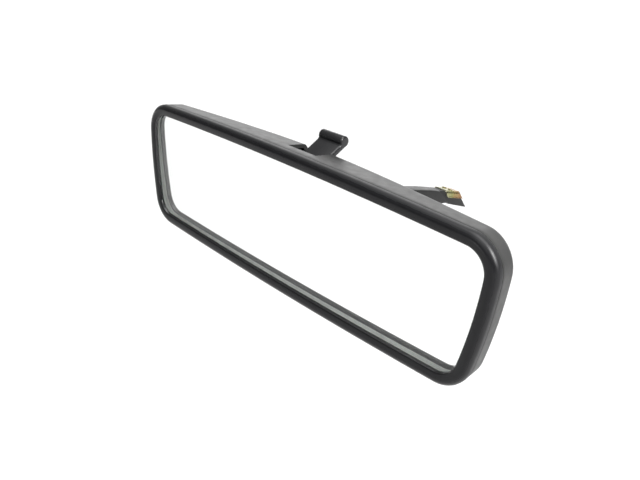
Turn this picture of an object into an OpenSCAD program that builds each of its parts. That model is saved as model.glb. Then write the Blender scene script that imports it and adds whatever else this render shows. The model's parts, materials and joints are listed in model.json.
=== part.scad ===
// Interior rearview mirror with a day and night lever, a ball joint and a clip-in foot.
// X runs along the mirror, +Y from the glass towards the windscreen, +Z towards the lever's edge.
// The origin is the centre of the foot's seat face, where the foot rests in the roof header.

/* [Head] */
// Width over the lever's edge of the head, between its sharp corners
head_top_w = 241; // [232:0.2:248]
// Width over the opposite edge
head_bottom_w = 223.8; // [216:0.2:230]
// Height of the head between its sharp corners
head_h = 70; // [66:0.5:74]
// How far the two long edges bow outwards
crown_long = 1.6; // [0.5:0.1:3]
// How far the two short edges bow outwards
crown_side = 0.9; // [0.5:0.1:2]
// Outer corner radius
corner_r = 16; // [14:0.5:20]
// Width of the rim around the glass
rim_w = 6; // [5.6:0.1:6.6]
// Depth of the housing at its middle, from the rim's reference plane
head_depth = 34; // [33:0.5:36]
// Wall thickness of the housing
wall = 2; // [1.8:0.1:2.2]

/* [Glass] */
// Glass thickness along the lever's edge
glass_thin = 2.5; // [2.2:0.1:2.8]
// Glass thickness along the opposite edge, which makes the prism
glass_thick = 4.5; // [4:0.1:5]

/* [Ball joint] */
// Radius of the ball
ball_r = 8.5; // [8:0.1:8.6]
// Distance of the ball's centre behind the rim's reference plane
ball_y = 26; // [25.5:0.1:26.5]
// Radial running clearance between the nested spherical faces
ball_gap = 0.07; // [0.04:0.01:0.1]

/* [Lever] */
// Width of the lever's blade
lever_w = 16; // [14:0.5:17]
// Angle of the blade above the horizontal, as it rests
lever_angle = 31.5; // [28:0.5:34]
// Distance from the lever's pivot to the rolled grip at its end
lever_reach = 21.4; // [20:0.2:24]
// Diameter of the rolled grip
bead_d = 5.8; // [4.8:0.1:6.4]
// Thickness of the blade
blade_t = 3; // [2.6:0.1:3.2]

/* [Arm and foot] */
// Width of the arm
arm_w = 9; // [8.6:0.1:10]
// Width of the foot's tongue
tongue_w = 8; // [7.4:0.1:8.4]
// Sheet thickness of the spring clip
clip_t = 0.7; // [0.6:0.1:0.8]

/* [Hidden] */
$fn = 64;

black_plastic = [0.06, 0.06, 0.065];
soft_black = [0.12, 0.12, 0.12];
steel = [0.62, 0.63, 0.65];
gold_zinc = [0.72, 0.62, 0.30];

// The foot's seat face, as (y, z) points in the head's frame: front edge and back edge
seat_front = [130.8, -15.8];
seat_back = [150.5, -22.1];
seat_mid = (seat_front + seat_back) / 2;

// Planes across the head, as distances behind the rim's reference plane
crest_y = -1.3;
glass_y = 1.1;
shoulder_y = 1.4;
parting_y = 3.4;
parting_gap = 0.35;
skirt_y = 4.8;
carrier_y = 9;
carrier_t = 2;
carrier_back = carrier_y + carrier_t;

// Back of the housing: its depth along the outer edge and along the middle line
edge_mid = 22.5;
edge_slope = 0.1;
edge_nose = 30;
spine_slope = 0.24;
spine_nose = 35;
spine_reach = 82;
back_fillet = 3.3;
shell_gap = 0.15;
wall_draft = 0.1;
fillet_end = 50;

// Pivots, as (y, z) in the head's frame
hinge_at = [15, -24];
hinge_r = 1.5;
pivot_at = [12.5, 26.6];
pivot_r = 1.25;
pin_gap = 0.05;
knuckle_r = 3;

side_lean = atan((head_top_w - head_bottom_w) / 2 / head_h);
arc_steps = 7;
long_steps = 14;
side_steps = 6;

module in_row() { translate([0, -seat_mid[0], -seat_mid[1]]) children(); }

// Cylinder along X between two x values, at a (y, z) point
module rod_x(x0, x1, at, r) {
    translate([x0, at[0], at[1]]) rotate([0, 90, 0]) cylinder(r = r, h = x1 - x0);
}

// Cylinder along Y
module rod_y(x, z, y0, y1, r) {
    translate([x, y1, z]) rotate([90, 0, 0]) cylinder(r = r, h = y1 - y0);
}

// Side profile of (y, z) points, extruded along X from x0 to x1
module slab_x(x0, x1, points) {
    translate([x0, 0, 0]) rotate([90, 0, 90]) linear_extrude(x1 - x0) polygon(points);
}

// Body of revolution about the Y axis through the ball's centre, from (radius, y) points
module turn_y() {
    translate([0, ball_y, 0]) rotate([-90, 0, 0]) rotate_extrude($fn = 96) children();
}

// ---- Outline of the head: four corner arcs joined by bowed edges ----

function arc_centre(right, top) =
    let (w = top ? head_top_w / 2 : head_bottom_w / 2,
         x = w - corner_r * (1 + (top ? 1 : -1) * sin(side_lean)) / cos(side_lean))
    [right ? x : -x, top ? head_h / 2 - corner_r : corner_r - head_h / 2];

top_span = 2 * arc_centre(true, true)[0];
side_span = norm(arc_centre(true, true) - arc_centre(true, false));
bow_long = atan(4 * crown_long / top_span);
bow_side = atan(4 * crown_side / side_span);

function corner_arc(centre, r, from, to) =
    [for (i = [0 : arc_steps]) let (a = from + (to - from) * i / arc_steps)
        centre + r * [cos(a), sin(a)]];

// Points between p and q, bowed outwards by crown along the outward normal
function bowed(p, q, crown, normal, steps) =
    [for (i = [1 : steps - 1]) let (t = i / steps)
        p + (q - p) * t + normal * crown * 4 * t * (1 - t)];

// Closed outline, moved inwards by inset, as (x, z) points going round from the right-hand side
function outline(inset) =
    let (r = corner_r - inset,
         tr = corner_arc(arc_centre(true, true), r, bow_side - side_lean, 90 - bow_long),
         tl = corner_arc(arc_centre(false, true), r, 90 + bow_long, 180 + side_lean - bow_side),
         bl = corner_arc(arc_centre(false, false), r, 180 + side_lean + bow_side, 270 - bow_long),
         br = corner_arc(arc_centre(true, false), r, 270 + bow_long, 360 - side_lean - bow_side),
         right = [cos(side_lean), -sin(side_lean)],
         left = [-cos(side_lean), -sin(side_lean)])
    concat(tr, bowed(tr[arc_steps], tl[0], crown_long, [0, 1], long_steps),
           tl, bowed(tl[arc_steps], bl[0], crown_side, left, side_steps),
           bl, bowed(bl[arc_steps], br[0], crown_long, [0, -1], long_steps),
           br, bowed(br[arc_steps], tr[0], crown_side, right, side_steps));

ring_n = len(outline(0));

// Closed ring-shaped surface through a list of rings, each with ring_n points
module hoop(rings) {
    m = len(rings);
    sides = [for (k = [0 : m - 1]) for (i = [0 : ring_n - 1])
        let (a = k * ring_n, b = ((k + 1) % m) * ring_n, j = (i + 1) % ring_n)
        each [[a + i, b + j, a + j], [a + i, b + i, b + j]]];
    polyhedron([for (ring = rings) each ring], sides, convexity = 8);
}

// ---- Front bezel: a rounded rim swept round the outline ----

crest_inset = 3.2;
lip_r = 1.2;
lip_y = 0;
glass_gap = 0.1;
skirt_out = wall + 0.4;
skirt_in = skirt_out + 1.1;
shoulder = [for (a = [0 : 15 : 90])
    [crest_inset * (1 - cos(a)), shoulder_y + (crest_y - shoulder_y) * sin(a)]];
lip = [for (a = [60 : -20 : 0]) [rim_w - lip_r + lip_r * cos(a), lip_y - lip_r * sin(a)]];
bezel_profile = concat(
    [[0, parting_y - parting_gap]], shoulder, lip,
    [[rim_w, glass_y - glass_gap], [skirt_in, glass_y - glass_gap], [skirt_in, skirt_y],
     [skirt_out, skirt_y], [skirt_out, parting_y - parting_gap]]);

module front_bezel() {
    color(black_plastic) in_row()
        hoop([for (p = bezel_profile) [for (q = outline(p[0])) [q[0], p[1], q[1]]]]);
}

// ---- Rear housing: a domed shell ----

function edge_depth(x) = edge_mid + edge_slope * (edge_nose - sqrt(x * x + edge_nose * edge_nose));
function spine_depth(x) = head_depth + spine_slope * (spine_nose - sqrt(x * x + spine_nose * spine_nose));
function spine_x(x) = spine_reach * x / (head_top_w / 2);

// Point i of the outline, moved inwards by inset, as [x, z]
rim = outline(0);
inward = outline(1) - rim;
function inset_point(i, inset) = rim[i] + inward[i] * inset;

// Drafted wall, then a rounded corner, then a dome that rises to the spine
function wall_end(i) = edge_depth(rim[i][0]) - back_fillet;
function wall_inset(y) = shell_gap + wall_draft * (y - parting_y);
function wall_ring(t, thick) =
    [for (i = [0 : ring_n - 1])
        let (y = parting_y + t * (wall_end(i) - parting_y), q = inset_point(i, wall_inset(y) + thick))
        [q[0], y, q[1]]];
function fillet_ring(a, thick) =
    [for (i = [0 : ring_n - 1])
        let (inset = wall_inset(wall_end(i)) + back_fillet * (1 - cos(a)) + thick * cos(a),
             q = inset_point(i, inset))
        [q[0], wall_end(i) + (back_fillet - thick) * sin(a), q[1]]];
function dome_ring(t, thick) =
    [for (p = fillet_ring(fillet_end, thick))
        let (x = p[0] + (spine_x(p[0]) - p[0]) * t,
             high = spine_depth(x) - thick)
        [x, p[1] + (high - p[1]) * (1 - (1 - t) * (1 - t)), p[2] * (1 - t)]];

dome_steps = [0.14, 0.3, 0.46, 0.62, 0.78, 0.92];
function shell_rings(thick) = concat(
    [wall_ring(0, thick), wall_ring(0.5, thick), wall_ring(1, thick)],
    [for (a = [fillet_end / 3 : fillet_end / 3 : fillet_end]) fillet_ring(a, thick)],
    [for (t = dome_steps) dome_ring(t, thick)]);

// Closes the last ring with a strip between its two long edges and a fan at each short one
last_top = 2 * arc_steps + long_steps;
low_pair = ring_n - side_steps;
function cap_faces(base) = concat(
    [for (i = [0 : last_top - 1]) each [[base + i, base + i + 1, base + low_pair - i],
        [base + i + 1, base + low_pair - i - 1, base + low_pair - i]]],
    [for (i = [last_top + 1 : last_top + side_steps - 1]) [base + last_top, base + i, base + i + 1]],
    [for (i = [low_pair : ring_n - 2]) [base, base + i, base + i + 1]]);

function wall_faces(start, rings) =
    [for (k = [0 : rings - 2]) for (i = [0 : ring_n - 1])
        let (a = start + k * ring_n, b = a + ring_n, j = (i + 1) % ring_n)
        each [[a + i, a + j, b + j], [a + i, b + j, b + i]]];

function flipped(faces) = [for (f = faces) [f[2], f[1], f[0]]];

module shell() {
    outer = shell_rings(0);
    inner = shell_rings(wall);
    m = len(outer);
    inner_start = m * ring_n;
    last_ring = (m - 1) * ring_n;
    mouth = [for (i = [0 : ring_n - 1]) let (j = (i + 1) % ring_n)
        each [[j, i, inner_start + j], [inner_start + j, i, inner_start + i]]];
    polyhedron(concat([for (r = outer) each r], [for (r = inner) each r]),
        concat(wall_faces(0, m), cap_faces(last_ring), mouth,
            flipped(concat(wall_faces(inner_start, m), cap_faces(inner_start + last_ring)))),
        convexity = 8);
}

slot_front = 9.4;
slot_floor = 26.5;
slot_half = lever_w / 2 + 1.6;
slot_size = [2 * slot_half, 30, 20];
aperture_r = 14.5;

// Screws that hold the carrier on four bosses, as distances from the middle
screw_x = 48;
screw_z = 15;
screw_r = 1.25;
screw_length = 9.5;
boss_r = 3.4;

module rear_housing() {
    color(black_plastic) in_row() difference() {
        union() {
            shell();
            for (sx = [-1, 1]) for (sz = [-1, 1])
                rod_y(sx * screw_x, sz * screw_z, carrier_back, spine_depth(screw_x) - boss_r, boss_r);
        }
        rod_y(0, 0, ball_y, head_depth + 4, aperture_r);
        translate([-slot_half, slot_front, slot_floor]) cube(slot_size);
        for (sx = [-1, 1]) for (sz = [-1, 1])
            rod_y(sx * screw_x, sz * screw_z, carrier_back - 1, carrier_y + screw_length + 0.5, screw_r);
    }
}

// ---- Glass, film and pads ----

glass_inset = 4.2;
film_inset = glass_inset + 0.8;
film_t = 0.25;
glass_half = head_h / 2 + crown_long - glass_inset;

// Back face of the prism at height z
function glass_back(z) =
    glass_y + glass_thin + (glass_thick - glass_thin) * (glass_half - z) / (2 * glass_half);

// Height beyond both long edges, for wedge-shaped cutters
reach = head_h / 2 + 5;

module plate(inset, y0, y1) {
    translate([0, y1, 0]) rotate([90, 0, 0]) linear_extrude(y1 - y0) polygon(outline(inset));
}

module mirror_glass() {
    color("white") in_row() intersection() {
        plate(glass_inset, glass_y, glass_y + glass_thick + 1);
        slab_x(-head_top_w / 2, head_top_w / 2,
            [[glass_y, -reach], [glass_y, reach], [glass_back(reach), reach],
             [glass_back(-reach), -reach]]);
    }
}

module backing_film() {
    color("gray") in_row() intersection() {
        plate(film_inset, glass_y, glass_y + glass_thick + 2);
        slab_x(-head_top_w / 2, head_top_w / 2,
            [[glass_back(-reach), -reach], [glass_back(reach), reach],
             [glass_back(reach) + film_t, reach], [glass_back(-reach) + film_t, -reach]]);
    }
}

pad_half = 38;
pad_h = 5;
pad_floors = [-12, 7];

module foam_pads() {
    color(soft_black) in_row() for (z = pad_floors)
        slab_x(-pad_half, pad_half,
            [[glass_back(z) + film_t, z], [glass_back(z + pad_h) + film_t, z + pad_h],
             [carrier_y, z + pad_h], [carrier_y, z]]);
}

// ---- Carrier plate inside the housing ----

carrier_x = 58;
carrier_z = 20;
carrier_hole_r = 15;
window_x = 34;
window_r = 9;
rib_from = 30;
rib_t = 1.6;
rib_h = 2;
ear_in = 24.3;
ear_out = 27;
ear_r = knuckle_r + 0.6;
ear_h = 8;
lever_ear_in = lever_w / 2 + 0.6;
lever_ear_out = lever_ear_in + 2.4;
lever_ear_r = 3.4;
pin_proud = 0.4;

module carrier_plate() {
    color([0.16, 0.16, 0.17]) in_row() difference() {
        union() {
            translate([-carrier_x, carrier_y, -carrier_z]) cube([2 * carrier_x, carrier_t, 2 * carrier_z]);
            for (sx = [-1, 1]) {
                // hinge ears
                rod_x(sx > 0 ? ear_in : -ear_out, sx > 0 ? ear_out : -ear_in, hinge_at, ear_r);
                translate([sx > 0 ? ear_in : -ear_out, carrier_y, hinge_at[1] - ear_r])
                    cube([ear_out - ear_in, hinge_at[0] - carrier_y, ear_h]);
                // lever ears
                rod_x(sx > 0 ? lever_ear_in : -lever_ear_out, sx > 0 ? lever_ear_out : -lever_ear_in,
                    pivot_at, lever_ear_r);
                translate([sx > 0 ? lever_ear_in : -lever_ear_out, carrier_y, carrier_z - 2])
                    cube([lever_ear_out - lever_ear_in, pivot_at[0] - carrier_y,
                        pivot_at[1] + lever_ear_r - carrier_z + 2]);
                // stiffening ribs
                for (z = [-carrier_z, carrier_z - rib_t])
                    translate([sx > 0 ? rib_from : -carrier_x, carrier_y, z])
                        cube([carrier_x - rib_from, carrier_t + rib_h, rib_t]);
            }
        }
        rod_y(0, 0, carrier_y - 1, carrier_back + 1, carrier_hole_r);
        for (sx = [-1, 1]) {
            for (sz = [-1, 1])
                rod_y(sx * screw_x, sz * screw_z, carrier_y - 1, carrier_back + 1, screw_r + 0.45);
            rod_y(sx * window_x, 0, carrier_y - 1, carrier_back + 1, window_r);
        }
        rod_x(-ear_out - 1, ear_out + 1, hinge_at, hinge_r);
        rod_x(-lever_ear_out - 1, lever_ear_out + 1, pivot_at, pivot_r);
    }
}

screw_head_r = 3;
screw_head_t = 1.5;
cross_size = [3.2, 1.6, 0.7];

module carrier_screws() {
    color(steel) in_row() for (sx = [-1, 1]) for (sz = [-1, 1]) difference() {
        union() {
            rod_y(sx * screw_x, sz * screw_z, carrier_y - screw_head_t, carrier_y, screw_head_r);
            rod_y(sx * screw_x, sz * screw_z, carrier_y - 0.5, carrier_y + screw_length, screw_r);
        }
        for (turn = [0, 90]) translate([sx * screw_x, carrier_y - screw_head_t, sz * screw_z])
            rotate([0, turn, 0]) cube(cross_size, center = true);
    }
}

module hinge_pin() {
    color(steel) in_row() rod_x(-ear_out - pin_proud, ear_out + pin_proud, hinge_at, hinge_r);
}

module lever_pin() {
    color(steel) in_row() rod_x(-lever_ear_out - pin_proud, lever_ear_out + pin_proud, pivot_at, pivot_r);
}

// Rubber buttons on the carrier, where the bracket's plate lands at the end of its travel
stop_x = 17.5;
stop_z = 11.5;
stop_h = 3.2;
stop_r = 2;

module stop_pads() {
    color(soft_black) in_row() for (sx = [-1, 1])
        rod_y(sx * stop_x, stop_z, carrier_back, carrier_back + stop_h, stop_r);
}

// ---- Day and night lever ----

blade_dir = [cos(lever_angle), sin(lever_angle)];
blade_up = [-sin(lever_angle), cos(lever_angle)];
bead_rise = 1.2;
bead_at = pivot_at + blade_dir * lever_reach + blade_up * bead_rise;
hub_r = 3;
cam_half = 4.5;
cam_reach = 5;
cam_t = 3.2;

module day_night_lever() {
    tip = pivot_at + blade_dir * lever_reach;
    half = blade_t / 2;
    color([0.03, 0.03, 0.033]) in_row() difference() {
        union() {
            rod_x(-lever_w / 2, lever_w / 2, pivot_at, hub_r);
            rod_x(-lever_w / 2, lever_w / 2, bead_at, bead_d / 2);
            slab_x(-lever_w / 2, lever_w / 2,
                [pivot_at - blade_up * half, tip - blade_up * half + blade_dir * bead_rise,
                 tip + blade_up * half, pivot_at + blade_up * half]);
            // cam foot that pushes the bracket
            slab_x(-cam_half, cam_half,
                [pivot_at + [-cam_t / 2, 0], pivot_at + [cam_t / 2, 0],
                 pivot_at + [cam_t / 2 - 0.4, -cam_reach], pivot_at + [1 - cam_t / 2, -cam_reach]]);
        }
        rod_x(-lever_w, lever_w, pivot_at, pivot_r + pin_gap);
    }
}

// ---- Tilt bracket with the ball's cup ----

liner_r = ball_r + ball_gap;
liner_t = 1.4;
cup_r = liner_r + liner_t + ball_gap;
cup_t = 0.75;
seat_r = cup_r + cup_t + ball_gap;
seat_t = 1.75;
split_y = -2.5;
flange_r = 16.5;
flange_t = 1.5;
cap_screw_pcd = 29.2;
cap_screw_angles = [30, 150, 270];
cap_screw_r = 0.8;
bracket_y = 14.5;
bracket_t = 1.6;
bracket_back = bracket_y + bracket_t;
bracket_half = 20;
bracket_top = 14;
tab_half = 7.5;
tab_from = 10;
tab_top = 22.4;

// Quarter-round shell profile about the ball's centre, kept between two heights along the axis
module shell_profile(r_in, r_out, low, high) {
    intersection() {
        difference() {
            circle(r = r_out, $fn = 128);
            circle(r = r_in, $fn = 128);
        }
        translate([0, low]) square([r_out + 1, high - low]);
    }
}

module tilt_bracket() {
    color(steel) in_row() difference() {
        union() {
            translate([-bracket_half, bracket_y, hinge_at[1]])
                cube([2 * bracket_half, bracket_t, bracket_top - hinge_at[1]]);
            translate([-tab_half, bracket_y, tab_from]) cube([2 * tab_half, bracket_t, tab_top - tab_from]);
            rod_x(-ear_in + pin_proud, ear_in - pin_proud, hinge_at, knuckle_r);
            turn_y() {
                shell_profile(seat_r - 1, seat_r + seat_t, -seat_r - seat_t - 1, split_y);
                translate([seat_r + seat_t - 1, split_y - flange_t])
                    square([flange_r - seat_r - seat_t + 1, flange_t]);
            }
        }
        translate([0, ball_y, 0]) sphere(r = seat_r, $fn = 128);
        rod_x(-ear_in, ear_in, hinge_at, hinge_r + pin_gap);
        for (a = cap_screw_angles)
            rod_y(cap_screw_pcd / 2 * cos(a), cap_screw_pcd / 2 * sin(a),
                ball_y + split_y - 6, ball_y + split_y + 1, cap_screw_r);
    }
}

// Leaf spring on the bracket's tab: flat below, bent away from the tab above
spring_half = 5;
spring_t = 0.5;
spring_low = 15.5;
spring_bend = 20.5;
spring_top = 23;
spring_kick = 0.6;
spring_rivet_x = 2.6;
spring_rivet_z = 18;
spring_rivet_r = 0.9;

module toggle_spring() {
    color([0.45, 0.46, 0.5]) in_row() difference() {
        translate([0, bracket_back, 0])
            slab_x(-spring_half, spring_half,
                [[0, spring_low], [spring_t, spring_low], [spring_t, spring_bend],
                 [spring_t + spring_kick, spring_top], [spring_kick, spring_top + 0.2],
                 [0, spring_bend + 0.1]]);
        for (x = [-spring_rivet_x, spring_rivet_x])
            rod_y(x, spring_rivet_z, bracket_back - 1, bracket_back + 2, spring_rivet_r);
    }
}

module spring_rivets() {
    front = bracket_back + spring_t;
    color(steel) in_row() for (x = [-spring_rivet_x, spring_rivet_x]) {
        rod_y(x, spring_rivet_z, bracket_back, front, spring_rivet_r);
        rod_y(x, spring_rivet_z, front, front + 0.6, spring_rivet_r + 0.6);
    }
}

cap_end = 5.4;

module socket_cap() {
    color([0.1, 0.1, 0.11]) in_row() difference() {
        turn_y() {
            shell_profile(seat_r, seat_r + seat_t, split_y, cap_end);
            difference() {
                translate([seat_r - 0.5, split_y]) square([flange_r - seat_r + 0.5, flange_t]);
                circle(r = seat_r, $fn = 128);
            }
        }
        for (a = cap_screw_angles)
            rod_y(cap_screw_pcd / 2 * cos(a), cap_screw_pcd / 2 * sin(a),
                ball_y + split_y - 1, ball_y + split_y + flange_t + 1, cap_screw_r + 0.3);
    }
}

module cap_screws() {
    top = ball_y + split_y + flange_t;
    color(steel) in_row() for (a = cap_screw_angles) {
        x = cap_screw_pcd / 2 * cos(a);
        z = cap_screw_pcd / 2 * sin(a);
        rod_y(x, z, top, top + 1.2, 1.7);
        rod_y(x, z, top - 5, top, cap_screw_r);
    }
}

cup_end = 4;
liner_end = 4.4;
split_size = [30, 5, 1.2];

module friction_cup() {
    color([0.5, 0.5, 0.53]) in_row() turn_y()
        shell_profile(cup_r, cup_r + cup_t, -cup_r - cup_t - 1, cup_end);
}

// Nylon liner, split crosswise at its mouth so that it snaps over the ball
module socket_liner() {
    color([0.85, 0.83, 0.76]) in_row() difference() {
        turn_y() shell_profile(liner_r, liner_r + liner_t, -liner_r - liner_t - 1, liner_end);
        for (a = [45, 135]) translate([0, ball_y + liner_end - 1, 0]) rotate([0, a, 0])
            cube(split_size, center = true);
    }
}

// ---- Arm and foot ----

neck_r = 4.4;
shank_r = 3.2;
shank_end = 60;
arm_start = 43;
foot_pin_z = -10.2;
foot_pin_from = 114;
foot_pin_to = 130;
foot_pin_r = 1.2;

module ball_stud() {
    color(steel) in_row() union() {
        translate([0, ball_y, 0]) sphere(r = ball_r, $fn = 128);
        rod_y(0, 0, ball_y + 6, arm_start, neck_r);
        rod_y(0, 0, ball_y + 6, shank_end, shank_r);
    }
}

// The arm's top edge falls towards the foot; its underside runs nearly straight
tongue_top = [119.5, -5];
tongue_back = [139.5, -9.9];
arm_top_z = 5;
arm_low_z = -5.4;
arm_bend = 2;
arm_seat = 0.9;
arm_edge = 1.2;
arm_run = tongue_top - [arm_start, arm_top_z];
arm_top = [for (i = [0 : 12]) let (u = i / 12)
    [arm_start + arm_run[0] * u, arm_top_z + arm_run[1] * pow(u, arm_bend)]];
arm_low = [tongue_top + (seat_front - tongue_top) * arm_seat, [arm_start, arm_low_z]];

module arm_body() {
    color([0.09, 0.09, 0.095]) in_row() difference() {
        slab_x(-arm_w / 2, arm_w / 2, concat(arm_top, arm_low));
        rod_y(0, 0, arm_start - 1, shank_end, shank_r);
        rod_y(0, foot_pin_z, foot_pin_from, foot_pin_to, foot_pin_r);
        // rounded front corners by the neck
        for (sx = [-1, 1]) translate([sx * arm_w / 2, arm_start, 0]) rotate([0, 0, 45])
            cube([arm_edge, arm_edge, 40], center = true);
    }
}

// Rivets that hold the clip, standing on the middle of the tongue's sloping top
tongue_slope = atan2(tongue_top[1] - tongue_back[1], tongue_back[0] - tongue_top[0]);
clip_front = tongue_top + (tongue_back - tongue_top) * 0.3;
rivet_at = (clip_front + tongue_back) / 2;
rivet_x = 2.2;
rivet_r = 0.8;
rivet_deep = 3;
rivet_head_r = 1.3;
rivet_head_t = 0.5;

module on_tongue() {
    for (sx = [-1, 1])
        translate([sx * rivet_x, rivet_at[0], rivet_at[1]]) rotate([-tongue_slope, 0, 0]) children();
}

module rivet_shank(h) { translate([0, 0, -rivet_deep]) cylinder(r = rivet_r, h = rivet_deep + h); }

module foot_body() {
    color([0.07, 0.07, 0.075]) in_row() difference() {
        slab_x(-tongue_w / 2, tongue_w / 2, [tongue_top, tongue_back, seat_back, seat_front]);
        rod_y(0, foot_pin_z, foot_pin_from, foot_pin_to, foot_pin_r);
        on_tongue() rivet_shank(1);
    }
}

// Saddle of plated spring steel over the tongue's top, with two side flanges and a back leaf
flange_low_front = [127.7, -10.6];
flange_low_back = [143.6, -14.4];
top_rise = clip_t * [sin(tongue_slope), cos(tongue_slope)];
leaf_rise = clip_t * [0.72, 0.69];

module spring_clip() {
    half = tongue_w / 2;
    color(gold_zinc) in_row() difference() {
        union() {
            slab_x(-half - clip_t, half + clip_t,
                [clip_front, tongue_back, tongue_back + top_rise, clip_front + top_rise]);
            for (x = [-half - clip_t, half])
                slab_x(x, x + clip_t,
                    [clip_front, tongue_back, flange_low_back, flange_low_front]);
            slab_x(-half - clip_t, half + clip_t,
                [tongue_back, tongue_back + top_rise, flange_low_back + leaf_rise, flange_low_back]);
        }
        on_tongue() rivet_shank(clip_t + 1);
    }
}

module clip_rivets() {
    color(gold_zinc) in_row() on_tongue() {
        rivet_shank(clip_t);
        translate([0, 0, clip_t]) cylinder(r = rivet_head_r, h = rivet_head_t);
    }
}

module foot_pin() {
    color(steel) in_row() rod_y(0, foot_pin_z, foot_pin_from, foot_pin_to, foot_pin_r);
}

front_bezel();
rear_housing();
mirror_glass();
backing_film();
foam_pads();
carrier_plate();
carrier_screws();
hinge_pin();
lever_pin();
stop_pads();
day_night_lever();
tilt_bracket();
toggle_spring();
spring_rivets();
socket_cap();
cap_screws();
friction_cup();
socket_liner();
ball_stud();
arm_body();
foot_body();
spring_clip();
clip_rivets();
foot_pin();
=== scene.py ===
"""Looks of the interior rearview mirror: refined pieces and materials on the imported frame.

Lengths in the constants below are millimetres in the head's own frame, the same as in the
design: X along the mirror, Y from the glass backwards, Z towards the lever's edge, with the
origin in the middle of the glass opening on the rim's reference plane.
"""
import json
import math

import bmesh
import bpy
import numpy as np
from mathutils import Matrix, Vector


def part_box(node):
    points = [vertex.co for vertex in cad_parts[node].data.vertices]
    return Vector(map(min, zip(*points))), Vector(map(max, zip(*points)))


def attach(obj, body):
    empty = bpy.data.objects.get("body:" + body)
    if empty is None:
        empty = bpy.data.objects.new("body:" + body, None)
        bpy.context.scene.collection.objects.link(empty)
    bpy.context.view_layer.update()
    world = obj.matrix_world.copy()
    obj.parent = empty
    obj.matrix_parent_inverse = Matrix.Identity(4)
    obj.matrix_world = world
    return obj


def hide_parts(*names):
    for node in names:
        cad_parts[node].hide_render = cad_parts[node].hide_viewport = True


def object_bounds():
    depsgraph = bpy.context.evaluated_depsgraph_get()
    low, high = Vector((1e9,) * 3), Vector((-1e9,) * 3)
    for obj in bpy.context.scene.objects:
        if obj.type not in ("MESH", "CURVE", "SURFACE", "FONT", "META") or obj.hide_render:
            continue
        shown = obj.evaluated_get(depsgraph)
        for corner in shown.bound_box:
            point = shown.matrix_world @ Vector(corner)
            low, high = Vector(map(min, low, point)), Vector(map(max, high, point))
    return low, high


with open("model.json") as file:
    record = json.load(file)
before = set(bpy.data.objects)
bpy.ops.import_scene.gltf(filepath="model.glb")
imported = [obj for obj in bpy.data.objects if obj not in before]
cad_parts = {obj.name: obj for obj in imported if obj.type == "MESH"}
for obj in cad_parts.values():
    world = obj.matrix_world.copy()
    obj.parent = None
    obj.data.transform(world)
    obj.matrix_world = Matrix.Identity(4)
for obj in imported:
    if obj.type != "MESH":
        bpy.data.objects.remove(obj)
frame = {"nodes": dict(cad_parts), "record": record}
cad_low, cad_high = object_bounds()

MM = 0.001
scene = bpy.context.scene

# ---------------------------------------------------------------- driving dimensions

# Head: width at the lever's edge and at the far one, height, bows of its edges, corners, depth
HEAD_TOP_W = 241.0
HEAD_BOTTOM_W = 223.8
HEAD_H = 70.0
CROWN_LONG = 1.6
CROWN_SIDE = 0.9
CORNER_R = 16.0
HEAD_DEPTH = 34.0

# Rim: width, crest in front of the reference plane, outer shoulder and lip round the glass
RIM_W = 6.0
CREST = 1.3
CREST_INSET = 3.2
SHOULDER_Y = 1.4
LIP_R = 1.2
LIP_Y = 0.0

# Seam between rim and housing, and the rim's skirt inside the housing
PARTING_Y = 3.4
PARTING_GAP = 0.35
SKIRT_Y = 4.8
SKIRT_OUT = 2.4
SKIRT_IN = 3.5

# Housing: wall and its draft, back edge and spine, which both come forward towards the ends
WALL = 2.0
SHELL_GAP = 0.15
WALL_DRAFT = 0.1
EDGE_MID = 22.5
EDGE_SLOPE = 0.1
EDGE_NOSE = 30.0
SPINE_SLOPE = 0.24
SPINE_NOSE = 35.0
SPINE_REACH = 82.0
BACK_FILLET = 3.3
FILLET_END = math.radians(50)
MOUTH_R = 0.3

# The lever's slot with its far corner as (y, z), the arm's aperture and the four screw bosses
SLOT_HALF = 9.6
SLOT_FRONT = 9.4
SLOT_FLOOR = 26.5
SLOT_END = (50.0, 46.0)
APERTURE_R = 14.5
BALL_Y = 26.0
SCREW_X = 48.0
SCREW_Z = 15.0
BOSS_R = 3.4
BOSS_SHORT = 4.6
PILOT_R = 1.25
PILOT_DEEP = 10.0

# Glass, thin at the lever's edge, and the gap to the film behind it
GLASS_Y = 1.1
GLASS_THIN = 2.5
GLASS_THICK = 4.5
GLASS_INSET = 4.2
GLASS_ARRIS = 0.35
FILM_GAP = 0.04
CARRIER_Y = 9.0

# Foam strips: half their length, the pinched ends, their height and where each one starts
FOAM_HALF = 38.0
FOAM_END = 2.5
FOAM_PULL = 1.1
FOAM_H = 5.0
FOAM_LOWS = {"foam_strip_low": -12.0, "foam_strip_high": 7.0}

# Lever: pivot as (y, z), angle and reach of the blade, rolled grip, hub, bore and cam
PIVOT = (12.5, 26.6)
LEVER_ANGLE = math.radians(31.5)
LEVER_REACH = 21.4
LEVER_W = 16.0
BLADE_T = 3.0
BEAD_R = 2.88
BEAD_RISE = 1.2
HUB_R = 3.0
LEVER_ROUND = 0.9
LEVER_BORE_R = 1.3
CAM_HALF = 4.5
CAM_LEN = 5.0

# Arm: start behind the rim, section there, curve of its top edge and share of the foot's front
ARM_START = 43.0
ARM_HALF = 4.5
ARM_TOP = 5.0
ARM_LOW = -5.4
ARM_BEND = 2.0
ARM_SEAT = 0.9
ARM_ROUND = 1.2

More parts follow.
